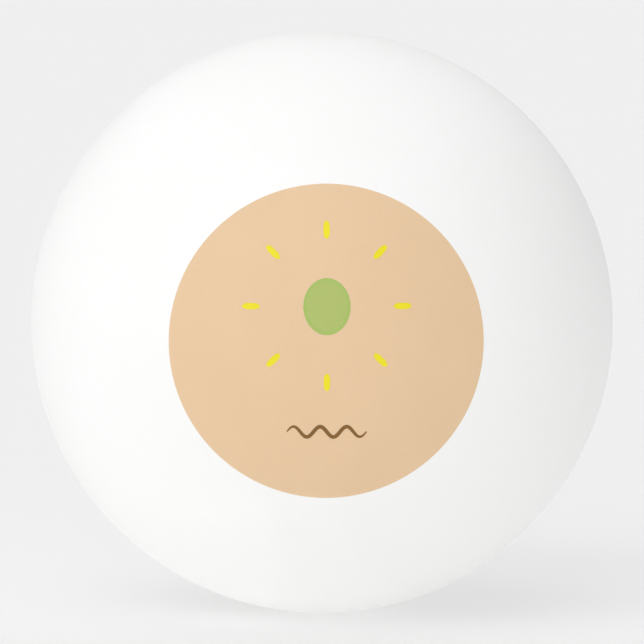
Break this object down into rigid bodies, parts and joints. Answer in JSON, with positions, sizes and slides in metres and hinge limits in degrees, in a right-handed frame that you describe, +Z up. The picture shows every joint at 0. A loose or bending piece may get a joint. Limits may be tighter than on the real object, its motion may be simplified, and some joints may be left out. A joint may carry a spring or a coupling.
{
  "type": "table tennis ball",
  "caption": "Hollow white plastic table tennis ball: half shells lap-jointed and cemented at a seam, with a tan printed disc and plain coloured marks on the front.",
  "frame": {"origin": "centre of the ball", "axes": "-Y out through the middle of the print, +Z up in the print, +X to the right of someone who looks at the print; the seam between the half shells lies in the XZ plane"},
  "size_m": [0.04, 0.0401, 0.04],
  "materials": {
    "shell_plastic": "matte",
    "cement": "satin",
    "tan_ink": "matte",
    "green_ink": "matte",
    "brown_ink": "matte",
    "yellow_ink": "matte"
  },
  "bodies": {
    "root": {"front_half_shell": "shell_plastic", "rear_half_shell": "shell_plastic", "seam_cement": "cement", "printed_disc": "tan_ink", "printed_oval": "green_ink", "printed_wave": "brown_ink", "printed_dash_1": "yellow_ink", "printed_dash_2": "yellow_ink", "printed_dash_3": "yellow_ink", "printed_dash_4": "yellow_ink", "printed_dash_5": "yellow_ink", "printed_dash_6": "yellow_ink", "printed_dash_7": "yellow_ink", "printed_dash_8": "yellow_ink"}
  },
  "joints": []
}
